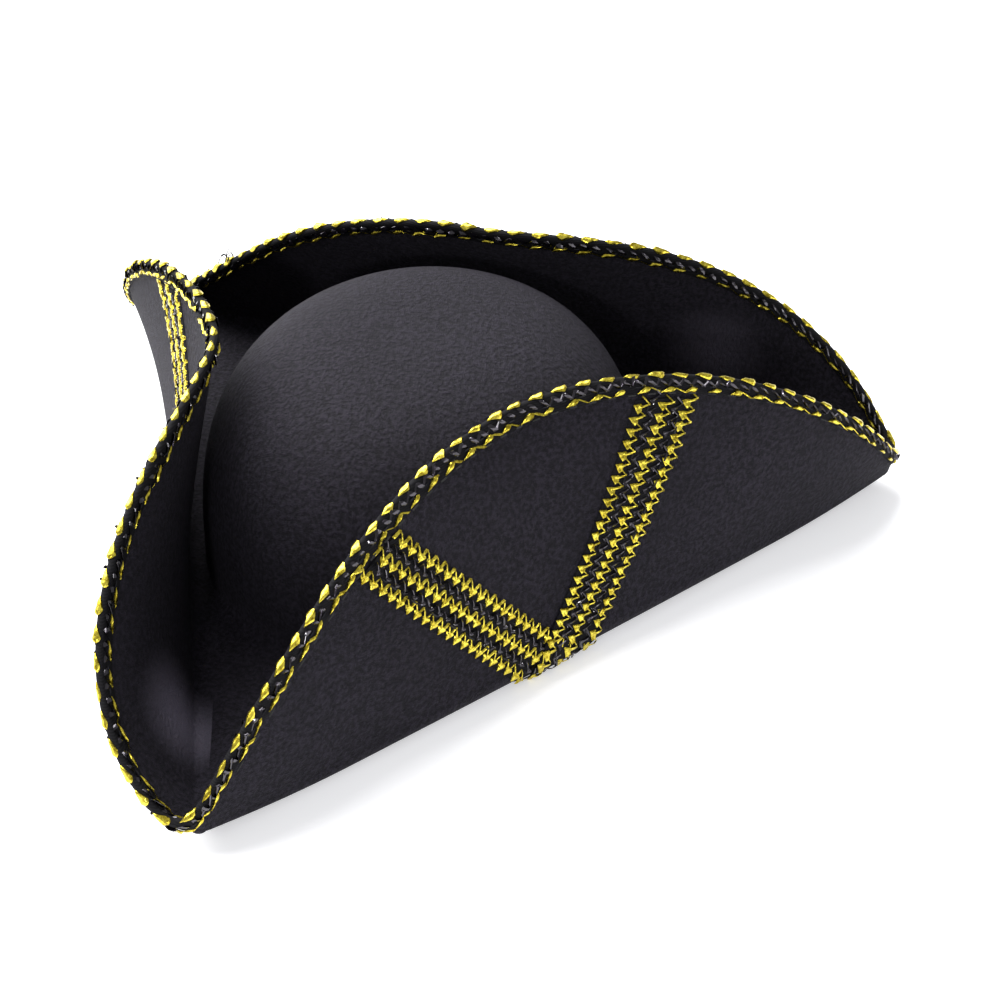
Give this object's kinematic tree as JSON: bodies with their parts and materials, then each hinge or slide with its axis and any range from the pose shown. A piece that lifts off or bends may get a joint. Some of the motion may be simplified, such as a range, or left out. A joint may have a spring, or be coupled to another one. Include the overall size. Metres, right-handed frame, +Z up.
{
  "type": "tricorn pirate hat",
  "caption": "Three-cornered costume hat in pressed felt, with a domed crown, brim flaps folded up round it, and plaited foil braid on the edge and in a V on each flap.",
  "frame": {"origin": "middle of the oval head opening, on the plane of the brim's underside, which is the surface that the hat rests on", "axes": "+Z up through the crown, -Y towards the front tip, +X towards the wearer's left"},
  "size_m": [0.3568, 0.3253, 0.1029],
  "materials": {
    "felt": "matt black pressed felt with a fine pebbled nap",
    "gold_foil": "bright metallised plastic foil lace, lemon gold",
    "black_foil": "glossy black foil lace",
    "sweatband_tape": "ribbed black tape",
    "black_thread": "black polyester sewing thread"
  },
  "bodies": {
    "hat_body": {"crown": "felt", "brim_base": "felt", "sweatband": "sweatband_tape", "sweatband_stitches": "black_thread", "strip_ends_left": "black_foil", "strip_ends_back": "black_foil", "strip_ends_right": "black_foil"},
    "left_flap": {"flap_left": "felt", "edge_braid_left": "gold_foil", "strip_left_front": "gold_foil", "strip_left_rear": "gold_foil", "stitches_left": "black_thread"},
    "back_flap": {"flap_back": "felt", "edge_braid_back": "gold_foil", "strip_back_left": "gold_foil", "strip_back_right": "gold_foil", "stitches_back": "black_thread"},
    "right_flap": {"flap_right": "felt", "edge_braid_right": "gold_foil", "strip_right_rear": "gold_foil", "strip_right_front": "gold_foil", "stitches_right": "black_thread"}
  },
  "joints": [
    {"name": "left_fold", "type": "hinge", "parent": "hat_body", "child": "left_flap", "pos_m": [0.0881, -0.0541, 0.008], "axis": [0.5, 0.866, 0], "range_deg": [0, 25], "stiffness_Nm_per_rad": 0.5},
    {"name": "back_fold", "type": "hinge", "parent": "hat_body", "child": "back_flap", "pos_m": [-0.0056, 0.1112, 0.008], "axis": [-1, 0, 0], "range_deg": [0, 25], "stiffness_Nm_per_rad": 0.5},
    {"name": "right_fold", "type": "hinge", "parent": "hat_body", "child": "right_flap", "pos_m": [-0.09584, -0.0521, 0.008], "axis": [0.5, -0.866, 0], "range_deg": [0, 25], "stiffness_Nm_per_rad": 0.5}
  ]
}
